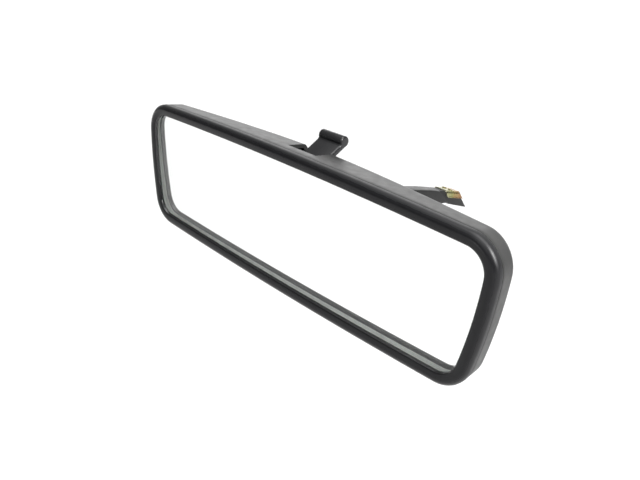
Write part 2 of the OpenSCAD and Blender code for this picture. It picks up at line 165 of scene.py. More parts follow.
# Tongue and its clip, with corners as (y, z)
TONGUE_TOP = (119.5, -5.0)
TONGUE_BACK = (139.5, -9.9)
SEAT_FRONT = (130.8, -15.8)
SEAT_BACK = (150.5, -22.1)
TONGUE_HALF = 4.0
TONGUE_ROUND = 0.5
CLIP_T = 0.7
CLIP_BEND = 0.5
CLIP_GAP = 0.02
CLIP_FLARE = 0.55
CLIP_FRONT = (125.5, -6.47)
FLANGE_FRONT = (127.7, -10.6)
FLANGE_BACK = (143.6, -14.4)

# How much the arm's section shrinks at a share of its length, next to the ball's shank
ARM_NOSE = ((0, 0.8), (0.003, 0.4), (0.007, 0.12), (0.012, 0))

# Camera: the point it looks at, in millimetres from the head's centre, and how it stands
CAMERA_TARGET = (26.4, 0, 2.0)
CAMERA_DISTANCE = 0.319
CAMERA_AZIMUTH = math.radians(44.66)
CAMERA_ELEVATION = math.radians(24.18)
CAMERA_ROLL = math.radians(4.82)
CAMERA_LENS = 39.375

bezel_low, bezel_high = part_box("front_bezel")
HEAD = Vector((0, bezel_low.y + CREST * MM, (bezel_low.z + bezel_high.z) / 2))

# ---------------------------------------------------------------- mesh helpers


def to_row(points):
    """Points in the head's frame, in millimetres, as metres in the row's frame."""
    return np.asarray(points, float) * MM + np.array(HEAD)


def smooth(obj, angle=35):
    """Smooth shading, with edges sharper than the angle left crisp."""
    limit = math.radians(angle)
    mesh = obj.data
    mesh.polygons.foreach_set("use_smooth", [True] * len(mesh.polygons))
    bm = bmesh.new()
    bm.from_mesh(mesh)
    for edge in bm.edges:
        edge.smooth = len(edge.link_faces) == 2 and edge.calc_face_angle(0) < limit
    bm.to_mesh(mesh)
    bm.free()
    return obj


def new_object(name, points, faces, face_slots=None, outward=True):
    """Mesh object from points in the head's frame."""
    mesh = bpy.data.meshes.new(name)
    mesh.from_pydata([tuple(p) for p in to_row(points)], [], faces)
    if face_slots is not None:
        mesh.polygons.foreach_set("material_index", face_slots)
    if outward:
        bm = bmesh.new()
        bm.from_mesh(mesh)
        bmesh.ops.recalc_face_normals(bm, faces=bm.faces)
        bm.to_mesh(mesh)
        bm.free()
    obj = bpy.data.objects.new(name, mesh)
    scene.collection.objects.link(obj)
    return obj


def loft(rings, closed=False):
    """Points and quads through rings that all have the same number of points."""
    n = len(rings[0])
    m = len(rings)
    points = np.concatenate(rings)
    faces = []
    for k in range(m if closed else m - 1):
        a = k * n
        b = ((k + 1) % m) * n
        for i in range(n):
            j = (i + 1) % n
            faces.append((a + i, a + j, b + j, b + i))
    return points, faces


def capped(rings):
    """Points and faces through rings, closed by a face at each end."""
    points, faces = loft(rings)
    n = len(rings[0])
    faces += [tuple(reversed(range(n))), tuple(range(len(points) - n, len(points)))]
    return points, faces


def circle(r, steps):
    """The two coordinates of points round a circle."""
    turn = np.linspace(0, 2 * math.pi, steps, endpoint=False)
    return r * np.cos(turn), r * np.sin(turn)


def bevelled(obj, width, segments=3, angle=40):
    """Rounds the sharp edges of a prism."""
    mod = obj.modifiers.new("rounding", "BEVEL")
    mod.width = width * MM
    mod.segments = segments
    mod.limit_method = "ANGLE"
    mod.angle_limit = math.radians(angle)
    mod.harden_normals = False
    return obj


def prism(name, x0, x1, side):
    """Side profile of (y, z) points, drawn out along X."""
    n = len(side)
    points = [(x, y, z) for x in (x0, x1) for y, z in side]
    faces = [tuple(range(n)), tuple(reversed(range(n, 2 * n)))]
    faces += [(i, (i + 1) % n, n + (i + 1) % n, n + i) for i in range(n)]
    return new_object(name, points, faces)


def settle(obj):
    """Replaces an object's mesh by what its modifiers make of it."""
    graph = bpy.context.evaluated_depsgraph_get()
    made = bpy.data.meshes.new_from_object(obj.evaluated_get(graph))
    obj.modifiers.clear()
    obj.data = made
    return obj


def boolean(obj, other, operation):
    """Joins another solid to the object, or cuts it away, and removes the other one."""
    mod = obj.modifiers.new("solid", "BOOLEAN")
    mod.operation = operation
    mod.solver = "EXACT"
    mod.object = other
    bpy.context.view_layer.update()
    settle(obj)
    bpy.data.objects.remove(other)
    return obj


def rod(name, x, z, y0, y1, r, steps=48):
    """Cylinder along Y."""
    across, up = circle(r, steps)
    rings = [np.column_stack([x + across, np.full(steps, y), z + up]) for y in (y0, y1)]
    return new_object(name, *capped(rings))


def rod_x(name, x0, x1, y, z, r, steps=48):
    """Cylinder along X."""
    across, up = circle(r, steps)
    rings = [np.column_stack([np.full(steps, x), y + across, z + up]) for x in (x0, x1)]
    return new_object(name, *capped(rings))


# ---------------------------------------------------------------- outline of the head

ARC_STEPS = 16
LONG_STEPS = 72
SIDE_STEPS = 22
SIDE_LEAN = math.atan((HEAD_TOP_W - HEAD_BOTTOM_W) / 2 / HEAD_H)


def corner_centre(right, top):
    """Centre of a corner's arc, as (x, z)."""
    width = HEAD_TOP_W / 2 if top else HEAD_BOTTOM_W / 2
    lean = math.sin(SIDE_LEAN) if top else -math.sin(SIDE_LEAN)
    x = width - CORNER_R * (1 + lean) / math.cos(SIDE_LEAN)
    z = HEAD_H / 2 - CORNER_R
    return np.array([x if right else -x, z if top else -z])


def corner_arc(centre, r, start, end):
    """Points of an arc round a corner's centre."""
    turn = np.linspace(start, end, ARC_STEPS + 1)
    return centre + r * np.column_stack([np.cos(turn), np.sin(turn)])


def bowed(p, q, crown, normal, steps):
    """Points between p and q, bowed outwards."""
    t = np.arange(1, steps)[:, None] / steps
    return p + (q - p) * t + np.array(normal) * crown * 4 * t * (1 - t)


def outline(inset):
    """Closed outline of the head as (x, z) points, moved inwards."""
    r = CORNER_R - inset
    top_span = 2 * corner_centre(True, True)[0]
    side_span = np.linalg.norm(corner_centre(True, True) - corner_centre(True, False))
    bow_long = math.atan(4 * CROWN_LONG / top_span)
    bow_side = math.atan(4 * CROWN_SIDE / side_span)
    half, lean = math.pi, SIDE_LEAN
    tr = corner_arc(corner_centre(True, True), r, bow_side - lean, half / 2 - bow_long)
    tl = corner_arc(corner_centre(False, True), r, half / 2 + bow_long, half + lean - bow_side)
    bl = corner_arc(corner_centre(False, False), r, half + lean + bow_side, 1.5 * half - bow_long)
    br = corner_arc(corner_centre(True, False), r, 1.5 * half + bow_long, 2 * half - lean - bow_side)
    right = (math.cos(lean), -math.sin(lean))
    left = (-math.cos(lean), -math.sin(lean))
    return np.concatenate([
        tr, bowed(tr[-1], tl[0], CROWN_LONG, (0, 1), LONG_STEPS),
        tl, bowed(tl[-1], bl[0], CROWN_SIDE, left, SIDE_STEPS),
        bl, bowed(bl[-1], br[0], CROWN_LONG, (0, -1), LONG_STEPS),
        br, bowed(br[-1], tr[0], CROWN_SIDE, right, SIDE_STEPS)])


RIM = outline(0)
INWARD = outline(1) - RIM
RING_N = len(RIM)


def ring(inset, depth):
    """Ring at a given inset and depth, each one value or one value for every point."""
    flat = RIM + INWARD * np.broadcast_to(inset, (RING_N,))[:, None]
    return np.column_stack([flat[:, 0], np.broadcast_to(depth, (RING_N,)), flat[:, 1]])


def arc(inset, depth, reach_in, reach_deep, start, end, steps):
    """Elliptical arc of (inset, depth) points; 0 degrees points inwards, 90 towards the viewer."""
    turn = np.radians(np.linspace(start, end, steps + 1))
    return [(inset + reach_in * math.cos(a), depth - reach_deep * math.sin(a)) for a in turn]


# ---------------------------------------------------------------- bezel

RIM_SIDE = 0.03
RIM_EDGE_R = 0.25
DOME_STEPS = 20
DOME_START_Y = 2.0
LIP_STEPS = 7
LIP_SATIN_STEPS = 3
LIP_STEEP_Y = 0.4
REBATE_Y = GLASS_Y - 0.1


def bezel_profile():
    """Closed profile of (inset, depth) points, and where its polished stretch starts and ends."""
    groove = PARTING_Y - PARTING_GAP
    outside = [(RIM_SIDE + RIM_EDGE_R, groove), (RIM_SIDE + 0.07, groove - 0.07),
               (RIM_SIDE, groove - RIM_EDGE_R), (RIM_SIDE, DOME_START_Y)]
    dome = arc(CREST_INSET + RIM_SIDE, SHOULDER_Y, CREST_INSET, SHOULDER_Y + CREST, 180, 90, DOME_STEPS)
    lip = arc(RIM_W - LIP_R, LIP_Y, LIP_R, LIP_R, 66, 0, LIP_STEPS)
    wall = [(RIM_W, LIP_STEEP_Y), (RIM_W, REBATE_Y)]
    back = [(SKIRT_IN, REBATE_Y), (SKIRT_IN, SKIRT_Y), (SKIRT_OUT, SKIRT_Y), (SKIRT_OUT, groove)]
    before = len(outside) + len(dome)
    polish_end = before + len(lip) + len(wall) - 1
    return outside + dome + lip + wall + back, before + LIP_SATIN_STEPS, polish_end


def make_bezel():
    """Rim swept round the outline; the polished lip round the glass takes the second material."""
    profile, polish_start, polish_end = bezel_profile()
    points, faces = loft([ring(inset, depth) for inset, depth in profile], closed=True)
    polished = [int(polish_start <= k < polish_end) for k in range(len(profile))]
    slots = np.repeat(polished, RING_N)
    return smooth(new_object("rim_frame", points, faces, slots), 50)


# ---------------------------------------------------------------- housing


def edge_depth(x):
    """How far back the shell's side wall reaches."""
    return EDGE_MID + EDGE_SLOPE * (EDGE_NOSE - np.sqrt(x * x + EDGE_NOSE ** 2))


def spine_depth(x):
    """How far back the shell's spine lies."""
    return HEAD_DEPTH + SPINE_SLOPE * (SPINE_NOSE - np.sqrt(x * x + SPINE_NOSE ** 2))


WALL_END = edge_depth(RIM[:, 0]) - BACK_FILLET
WALL_SHARES = (0.2, 0.5, 0.8, 1.0)
FILLET_STEPS = 8
DOME_SHARES = (0.05, 0.12, 0.2, 0.3, 0.4, 0.5, 0.6, 0.7, 0.8, 0.88, 0.94, 0.985)


def wall_inset(depth):
    """Inset of the drafted side wall."""
    return SHELL_GAP + WALL_DRAFT * (depth - PARTING_Y)


def fillet_ring(a, thick):
    """Ring on the fillet between the side wall and the domed back."""
    inset = wall_inset(WALL_END) + BACK_FILLET * (1 - math.cos(a)) + thick * math.cos(a)
    return ring(inset, WALL_END + (BACK_FILLET - thick) * math.sin(a))


def dome_ring(t, thick):
    """Ring on the domed back, at a share t of the way to the spine."""
    start = fillet_ring(FILLET_END, thick)
    x = start[:, 0] * (1 - t) + SPINE_REACH * start[:, 0] / (HEAD_TOP_W / 2) * t
    high = spine_depth(x) - thick
    y = start[:, 1] + (high - start[:, 1]) * (1 - (1 - t) ** 2)
    return np.column_stack([x, y, start[:, 2] * (1 - t)])


def shell_side(thick):
    """Rings over one side of the shell, from the mouth to the spine."""
    rings = []
    for a in np.radians([90, 45, 0]):
        depth = PARTING_Y + MOUTH_R * (1 - math.sin(a))
        shift = MOUTH_R * (1 - math.cos(a)) * (1 if thick == 0 else -1)
        rings.append(ring(wall_inset(depth) + thick + shift, depth))
    for t in WALL_SHARES:
        depth = PARTING_Y + MOUTH_R + t * (WALL_END - PARTING_Y - MOUTH_R)
        rings.append(ring(wall_inset(depth) + thick, depth))
    rings += [fillet_ring(a, thick) for a in np.linspace(0, FILLET_END, FILLET_STEPS + 1)[1:]]
    rings += [dome_ring(t, thick) for t in DOME_SHARES]
    return rings


def spine_faces(base):
    """Closes a last ring with a strip between its long edges and a fan at each short one."""
    last_top = 2 * ARC_STEPS + LONG_STEPS
    low = RING_N - SIDE_STEPS
    faces = [(base + i, base + i + 1, base + low - i - 1, base + low - i) for i in range(last_top)]
    faces += [(base + last_top, base + i, base + i + 1) for i in range(last_top + 1, last_top + SIDE_STEPS)]
    faces += [(base, base + i, base + i + 1) for i in range(low, RING_N - 1)]
    return faces


def add_boss(shell, x, z):
    """Screw boss with its pilot hole, which the carrier plate is screwed to."""
    boss = rod("boss", x, z, CARRIER_Y + 2, spine_depth(SCREW_X) - BOSS_SHORT, BOSS_R)
    boolean(shell, boss, "UNION")
    hole = rod("boss_hole", x, z, CARRIER_Y + 1, CARRIER_Y + PILOT_DEEP, PILOT_R, 24)
    boolean(shell, hole, "DIFFERENCE")


def make_housing():
    """Domed shell with screw bosses, the lever's slot and the ball joint's opening."""
    outer = shell_side(0)
    inner = shell_side(WALL)
    points, faces = loft(list(reversed(inner)) + outer)
    faces += spine_faces(0) + spine_faces(len(points) - RING_N)
    shell = new_object("rear_shell", points, faces)
    for sx in (-1, 1):
        for sz in (-1, 1):
            add_boss(shell, sx * SCREW_X, sz * SCREW_Z)
    behind, above = SLOT_END
    slot = prism("slot", -SLOT_HALF, SLOT_HALF,
                 [(SLOT_FRONT, SLOT_FLOOR), (SLOT_FRONT, above), (behind, above), (behind, SLOT_FLOOR)])
    boolean(shell, slot, "DIFFERENCE")
    boolean(shell, rod("aperture", 0, 0, BALL_Y, HEAD_DEPTH + 4, APERTURE_R, 96), "DIFFERENCE")
    return smooth(shell, 32)


# ---------------------------------------------------------------- glass


def glass_back(z):
    """Depth of the prism's back face."""
    half = HEAD_H / 2 + CROWN_LONG - GLASS_INSET
    return GLASS_Y + GLASS_THIN + (GLASS_THICK - GLASS_THIN) * (half - z) / (2 * half)


def make_glass():
    """Prism with clear front, ground and chamfered edges, and a silvered back."""
    face_inset = GLASS_INSET + GLASS_ARRIS
    edge = RIM + INWARD * GLASS_INSET
    inner = RIM + INWARD * face_inset
    edge_back = glass_back(edge[:, 1]) - GLASS_ARRIS - FILM_GAP
    rings = [ring(face_inset, GLASS_Y), ring(GLASS_INSET, GLASS_Y + GLASS_ARRIS),
             ring(GLASS_INSET, edge_back), ring(face_inset, glass_back(inner[:, 1]) - FILM_GAP)]
    points, faces = loft(rings)
    slots = [2] * len(faces)
    faces.append(tuple(range(RING_N)))
    faces.append(tuple(range(3 * RING_N, 4 * RING_N)))
    slots += [0, 1]
    return new_object("mirror_prism", points, faces, slots)


# ---------------------------------------------------------------- lever


def lever_point(s, u):
    """Place at s along the blade from the pivot and u above its middle plane, as (y, z)."""
    ca, sa = math.cos(LEVER_ANGLE), math.sin(LEVER_ANGLE)
    return (PIVOT[0] + s * ca - u * sa, PIVOT[1] + s * sa + u * ca)


def lever_profile():
    """Side profile as (s, u) points: hub, underside, rolled grip, crease, top side."""
    half = BLADE_T / 2
    hub = [(HUB_R * math.cos(a), HUB_R * math.sin(a)) for a in np.radians(np.linspace(30, 330, 25))]
    grip = [(LEVER_REACH + BEAD_R * math.cos(a), BEAD_RISE + BEAD_R * math.sin(a))
            for a in np.radians(np.linspace(-88, 168, 34))]
    crease_s = LEVER_REACH - BEAD_R
    crease = [(crease_s - 0.1, half + 0.28), (crease_s - 0.35, half + 0.08), (crease_s - 0.8, half)]
    blade_start = HUB_R + 0.4
    under = [(s, -half) for s in np.linspace(blade_start, LEVER_REACH - 1.2, 8)]
    top = [(s, half) for s in np.linspace(crease_s - 2.4, blade_start, 8)]
    return np.array(hub + under + grip + crease + top)


def unit(steps):
    """Each row made one long."""
    return steps / np.linalg.norm(steps, axis=1)[:, None]


def shrunk(profile, amount):
    """Closed profile moved inwards along its vertex normals."""
    ahead = np.roll(profile, -1, axis=0)
    before = unit(profile - np.roll(profile, 1, axis=0))
    after = unit(ahead - profile)
    tangent = unit(before + after)
    area = np.sum(profile[:, 0] * ahead[:, 1] - profile[:, 1] * ahead[:, 0])
    inward = np.column_stack([-tangent[:, 1], tangent[:, 0]]) * (1 if area > 0 else -1)
    return profile + inward * amount


def rounded_ends(name, profile, half, r, place, steps=6):
    """Draws a profile out along X between -half and half, with edges rounded to radius r."""
    turn = np.linspace(math.pi / 2, 0, steps + 1)
    ends = [(-half + r * (1 - math.sin(a)), r * (1 - math.cos(a))) for a in turn]
    ends += [(-x, amount) for x, amount in reversed(ends)]
    loops = [np.array([(x, *place(s, u)) for s, u in shrunk(profile, amount)]) for x, amount in ends]
    return new_object(name, *capped(loops))


def make_lever():
    """Lever with its blade and rolled grip, the cam under its hub and the pin's bore."""
    body = rounded_ends("lever_body", lever_profile(), LEVER_W / 2, LEVER_ROUND, lever_point)
    y, z = PIVOT
    cam_side = [(y - 1.6, z), (y + 1.6, z), (y + 1.2, z - CAM_LEN), (y - 0.6, z - CAM_LEN)]
    boolean(body, prism("cam", -CAM_HALF, CAM_HALF, cam_side), "UNION")
    boolean(body, rod_x("bore", -LEVER_W, LEVER_W, y, z, LEVER_BORE_R, 32), "DIFFERENCE")
    return smooth(body, 40)


# ---------------------------------------------------------------- arm, foot and clip


def rounded_section(half, low, high, r, per_corner=6):
    """Rounded rectangle of (x, z) points."""
    points = []
    for cx, cz, start in ((half - r, high - r, 0), (-half + r, high - r, 90),
                          (-half + r, low + r, 180), (half - r, low + r, 270)):
        for a in np.radians(np.linspace(start, start + 90, per_corner)):
            points.append((cx + r * math.cos(a), cz + r * math.sin(a)))
    return np.array(points)


def make_arm():
    """Arm whose top edge falls towards the foot and whose end lies on the foot's front face."""
    run_top = TONGUE_TOP[0] - ARM_START
    low_end = np.array(TONGUE_TOP) + (np.array(SEAT_FRONT) - np.array(TONGUE_TOP)) * ARM_SEAT
    run_low = low_end[0] - ARM_START
    stations = list(ARM_NOSE) + [(u, 0) for u in np.linspace(0.05, 1, 24)]
    loops = []
    for u, shrink in stations:
        top = ARM_TOP + (TONGUE_TOP[1] - ARM_TOP) * u ** ARM_BEND
        bottom = ARM_LOW + (low_end[1] - ARM_LOW) * u
        flat = rounded_section(ARM_HALF - shrink, bottom + shrink, top - shrink, ARM_ROUND)
        share = (top - flat[:, 1]) / (top - bottom)
        y = ARM_START + u * (run_top + (run_low - run_top) * share)
        loops.append(np.column_stack([flat[:, 0], y, flat[:, 1]]))
    return smooth(new_object("arm_moulding", *capped(loops)), 40)


def make_foot():
    """Tongue whose slanted lower face rests in the header."""
    foot = prism("foot_tongue", -TONGUE_HALF, TONGUE_HALF, [TONGUE_TOP, TONGUE_BACK, SEAT_BACK, SEAT_FRONT])
    bevelled(foot, TONGUE_ROUND)
    settle(foot)
    return smooth(foot, 30)


def sheet_solid(name, outer, inner):
    """Solid sheet between two grids of points with rows and columns."""
    rows, cols = outer.shape[:2]
    points = np.concatenate([outer.reshape(-1, 3), inner.reshape(-1, 3)])
    base = rows * cols
    faces = []
    slots = []

    def at(r, c, side):
        return side * base + r * cols + c

    for r in range(rows - 1):
        for c in range(cols - 1):
            for side in (0, 1):
                faces.append((at(r, c, side), at(r + 1, c, side), at(r + 1, c + 1, side), at(r, c + 1, side)))
                slots.append(0)
    border = [(0, c) for c in range(cols)] + [(r, cols - 1) for r in range(1, rows)]
    border += [(rows - 1, c) for c in range(cols - 2, -1, -1)] + [(r, 0) for r in range(rows - 2, 0, -1)]
    for k, (r, c) in enumerate(border):
        r2, c2 = border[(k + 1) % len(border)]
        faces.append((at(r, c, 0), at(r2, c2, 0), at(r2, c2, 1), at(r, c, 1)))
        slots.append(1)
    return new_object(name, points, faces, slots)


def clip_grid(offset):
    """Grid over the saddle: columns go from one flange's lower edge over the top to the other."""
    half = TONGUE_HALF + offset
    bend = CLIP_BEND + offset
    top_dir = np.array(TONGUE_BACK) - np.array(CLIP_FRONT)
    up = np.array([-top_dir[1], top_dir[0]]) / np.linalg.norm(top_dir)
    rows = []
    for v in np.linspace(0, 1, 15):
        top = np.array(CLIP_FRONT) + top_dir * v
        low = np.array(FLANGE_FRONT) + (np.array(FLANGE_BACK) - np.array(FLANGE_FRONT)) * v
        down = low - top
        length = np.linalg.norm(down)
        down = down / length
        side = []
        for w in np.linspace(1, 0.12, 9):
            flare = CLIP_FLARE * max(0.0, (w - 0.82) / 0.18) ** 2
            side.append((half + flare, *(top + down * length * w)))
        for a in np.radians(np.linspace(0, 90, 7)):
            x = half - bend + bend * math.cos(a)
            p = top + down * bend * (1 - math.sin(a)) + up * offset * math.sin(a)
            side.append((x, *p))
        middle = [(x, *(top + up * offset)) for x in np.linspace(half - bend, -half + bend, 12)[1:-1]]
        row = side + middle + [(-x, y, z) for x, y, z in reversed(side)]
        rows.append(row)
    return np.array(rows)


def leaf_grid(offset):
    """Grid over the back leaf, which bends down from the saddle's rear edge."""
    half = TONGUE_HALF + CLIP_T - 0.6
    start = np.array(TONGUE_BACK)
    along = np.array(FLANGE_BACK) - start
    out = np.array([-along[1], along[0]]) / np.linalg.norm(along)
    rows = []
    for v in np.linspace(0, 0.98, 10):
        p = start + along * v + out * (offset + CLIP_GAP)
        rows.append([(x, *p) for x in np.linspace(half, -half, 16)])
    return np.array(rows)


def make_clip():
    """Sheet-metal saddle over the tongue, and the leaf behind it."""
    saddle = sheet_solid("clip_saddle", clip_grid(CLIP_T), clip_grid(CLIP_GAP))
    leaf = sheet_solid("clip_leaf", leaf_grid(CLIP_T - 0.1), leaf_grid(0))
    smooth(saddle, 40)
    smooth(leaf, 40)
    return saddle, leaf


# ---------------------------------------------------------------- foam


def make_foam(name, z0, z1):
    """Strip of foam between the film and the carrier, with waved sides and pinched ends."""
    film = max(glass_back(z0), glass_back(z1)) + 0.3
    loops = []
    for x in np.linspace(-FOAM_HALF, FOAM_HALF, 41):
        end = max(0.0, (abs(x) - FOAM_HALF + FOAM_END) / FOAM_END)
        pull = FOAM_PULL * end ** 2 / 2
        wave = 0.048 * math.sin(x * 1.7) * math.cos(x * 0.6)
        front = film + pull
        back = CARRIER_Y - 0.02 - pull
        mid_y = (front + back) / 2
        half_z = (z1 - z0) / 2 - 0.25 - pull + wave
        flat = rounded_section(half_z, front - mid_y, back - mid_y, 0.45, 4)
        loops.append(np.column_stack([np.full(len(flat), x), mid_y + flat[:, 1], (z0 + z1) / 2 + flat[:, 0]]))
    return smooth(new_object(name, *capped(loops)), 45)


# ---------------------------------------------------------------- materials


class Nodes:
    """Small wrapper that adds and links shader nodes."""

    def __init__(self, name):
        self.material = bpy.data.materials.new(name)
        self.material.use_nodes = True
        self.tree = self.material.node_tree
        self.shader = self.tree.nodes["Principled BSDF"]
        coord = self.tree.nodes.new("ShaderNodeTexCoord")
        self.place = coord.outputs["Object"]

    def add(self, kind, **values):
        """New node with the given settings."""
        node = self.tree.nodes.new(kind)
        for key, value in values.items():
            setattr(node, key, value)
        return node

    def link(self, source, target):
        """Joins an output to an input."""
        self.tree.links.new(source, target)

    def noise(self, scale, detail=4.0, rough=0.55, stretch=None):
        """Noise in the object's own coordinates, in cells per metre."""
        node = self.add("ShaderNodeTexNoise")
        node.inputs["Scale"].default_value = scale
        node.inputs["Detail"].default_value = detail
        node.inputs["Roughness"].default_value = rough
        source = self.place
        if stretch is not None:
            mapping = self.add("ShaderNodeMapping")
            mapping.inputs["Scale"].default_value = stretch
            self.link(self.place, mapping.inputs["Vector"])
            source = mapping.outputs["Vector"]
        self.link(source, node.inputs["Vector"])
        return node.outputs["Fac"]

    def ramp(self, source, stops):
        """Colour ramp through (position, colour) stops."""
        node = self.add("ShaderNodeValToRGB")
        elements = node.color_ramp.elements
        while len(elements) < len(stops):
            elements.new(0.5)
        for element, (position, colour) in zip(elements, stops):
            element.position = position
            element.color = (*colour, 1)
        self.link(source, node.inputs["Fac"])
        return node.outputs["Color"]

    def span(self, source, low, high, from_low=0.3, from_high=0.7):
        """Stretches a value's range to low..high."""
        node = self.add("ShaderNodeMapRange")
        node.inputs["From Min"].default_value = from_low
        node.inputs["From Max"].default_value = from_high
        node.inputs["To Min"].default_value = low
        node.inputs["To Max"].default_value = high
        self.link(source, node.inputs["Value"])
        return node.outputs["Result"]

    def bump(self, source, distance, strength=1.0):
        """Normal that a height gives."""
        node = self.add("ShaderNodeBump")
        node.inputs["Distance"].default_value = distance
        node.inputs["Strength"].default_value = strength
        self.link(source, node.inputs["Height"])
        return node.outputs["Normal"]

    def sum(self, first, second):
        """Adds two values."""
        node = self.add("ShaderNodeMath", operation="ADD")
        self.link(first, node.inputs[0])
        self.link(second, node.inputs[1])
        return node.outputs["Value"]

    def along_y(self):
        """Place along Y, in metres."""
        parts = self.add("ShaderNodeSeparateXYZ")
        self.link(self.place, parts.inputs["Vector"])
        return parts.outputs["Y"]

    def cells(self, scale):
        """Distance inside Voronoi cells."""
        node = self.add("ShaderNodeTexVoronoi")
        node.inputs["Scale"].default_value = scale
        self.link(self.place, node.inputs["Vector"])
        return node.outputs["Distance"]

    def set(self, **values):
        """Sets or links the shader's inputs; an underscore stands for a space."""
        for key, value in values.items():
            socket = self.shader.inputs[key.replace("_", " ")]
            if isinstance(value, bpy.types.NodeSocket):
                self.link(value, socket)
            else:
                socket.default_value = value


def moulded_plastic(name, dark, light, rough, grain, relief, spec=0.5):
    """Black plastic with mottled colour, moulded grain and uneven gloss."""
    nodes = Nodes(name)
    cloud = nodes.noise(90, 5)
    fine = nodes.noise(grain, 3, 0.6)
    colour = nodes.ramp(cloud, [(0.3, dark), (0.7, light)])
    gloss = nodes.span(nodes.noise(260, 4), rough[0], rough[1])
    normal = nodes.bump(fine, relief)
    nodes.set(Base_Color=colour, Roughness=gloss, Normal=normal, Specular_IOR_Level=spec)
    return nodes.material


def rim_black():
    """Satin black moulding whose foremost face is polished by handling."""
    nodes = Nodes("rim_black")
    depth = nodes.along_y()
    crest = bezel_low.y + 0.2 * MM
    satin = nodes.span(depth, 0.2, 0.42, crest, crest + 1.6 * MM)
    shine = nodes.span(depth, 0.2, 0.38, crest, crest + 1.2 * MM)
    gloss = nodes.sum(satin, nodes.span(nodes.noise(260, 4), -0.03, 0.03))
    colour = nodes.ramp(nodes.noise(90, 5), [(0.3, (0.008, 0.008, 0.009)), (0.7, (0.011, 0.011, 0.012))])
    normal = nodes.bump(nodes.noise(2200, 3, 0.6), 0.000006)
    nodes.set(Base_Color=colour, Roughness=gloss, Normal=normal, Specular_IOR_Level=shine)
    return nodes.material


def steel(name, dark, light, rough, scale=(1, 1, 1)):
    """Zinc-flashed steel with crystals and fine drawing marks."""
    nodes = Nodes(name)
    marks = nodes.noise(900, 4, 0.6, stretch=scale)
    colour = nodes.ramp(nodes.noise(240, 5), [(0.3, dark), (0.7, light)])
    gloss = nodes.span(marks, rough[0], rough[1])
    normal = nodes.bump(nodes.cells(700), 0.000015, 0.5)
    nodes.set(Base_Color=colour, Metallic=1.0, Roughness=gloss, Normal=normal)
    return nodes.material


def clear_glass():
    """Nearly colourless glass with a trace of wiping haze."""
    nodes = Nodes("glass_front")
    tint = nodes.ramp(nodes.noise(14, 2), [(0.3, (0.985, 0.995, 0.988)), (0.7, (0.99, 0.998, 0.99))])
    haze = nodes.span(nodes.noise(60, 5), 0.0, 0.012)
    nodes.set(Base_Color=tint, Roughness=haze, Transmission_Weight=1.0, IOR=1.52)
    return nodes.material


def silver():
    """Silvered back of the prism."""
    nodes = Nodes("glass_silver")
    tint = nodes.ramp(nodes.noise(30, 3), [(0.3, (0.955, 0.96, 0.957)), (0.7, (0.97, 0.973, 0.97))])
    nodes.set(Base_Color=tint, Roughness=nodes.span(nodes.noise(80, 3), 0.004, 0.012), Metallic=1.0)
    return nodes.material


def ground_edge():
    """Ground edge of the glass, pale and matte."""
    nodes = Nodes("glass_ground_edge")
    grit = nodes.noise(2600, 4, 0.7)
    tint = nodes.ramp(nodes.noise(500, 4), [(0.3, (0.80, 0.84, 0.80)), (0.7, (0.90, 0.93, 0.89))])
    nodes.set(Base_Color=tint, Roughness=nodes.span(grit, 0.45, 0.7), Normal=nodes.bump(grit, 0.00002))
    return nodes.material


def passivated(name, bright):
    """Yellow-passivated zinc: olive turning to copper, with pale iridescent clouds."""
    nodes = Nodes(name)
    low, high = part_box("spring_clip")
    along = nodes.span(nodes.along_y(), 0.0, 1.0, low.y, high.y)
    cloud = nodes.span(nodes.noise(320, 4), -0.16, 0.16)
    if bright:
        stops = [(0.0, (0.66, 0.64, 0.50)), (0.5, (0.70, 0.65, 0.50)), (1.0, (0.68, 0.60, 0.48))]
    else:
        stops = [(0.0, (0.41, 0.40, 0.25)), (0.3, (0.32, 0.31, 0.12)), (0.55, (0.36, 0.26, 0.11)),
                 (0.8, (0.38, 0.21, 0.10)), (1.0, (0.35, 0.23, 0.15))]
    colour = nodes.ramp(nodes.sum(along, cloud), stops)
    rough = nodes.span(nodes.noise(900, 4), 0.2, 0.34)
    normal = nodes.bump(nodes.noise(1500, 3), 0.00002)
    nodes.set(Base_Color=colour, Metallic=1.0, Roughness=rough, Normal=normal)
    return nodes.material


def open_foam():
    """Dark foam with open cells."""
    nodes = Nodes("foam")
    cells = nodes.cells(1800)
    colour = nodes.ramp(cells, [(0.1, (0.012, 0.012, 0.013)), (0.6, (0.05, 0.05, 0.052))])
    nodes.set(Base_Color=colour, Roughness=0.9, Normal=nodes.bump(cells, 0.0002), Sheen_Weight=0.3)
    return nodes.material


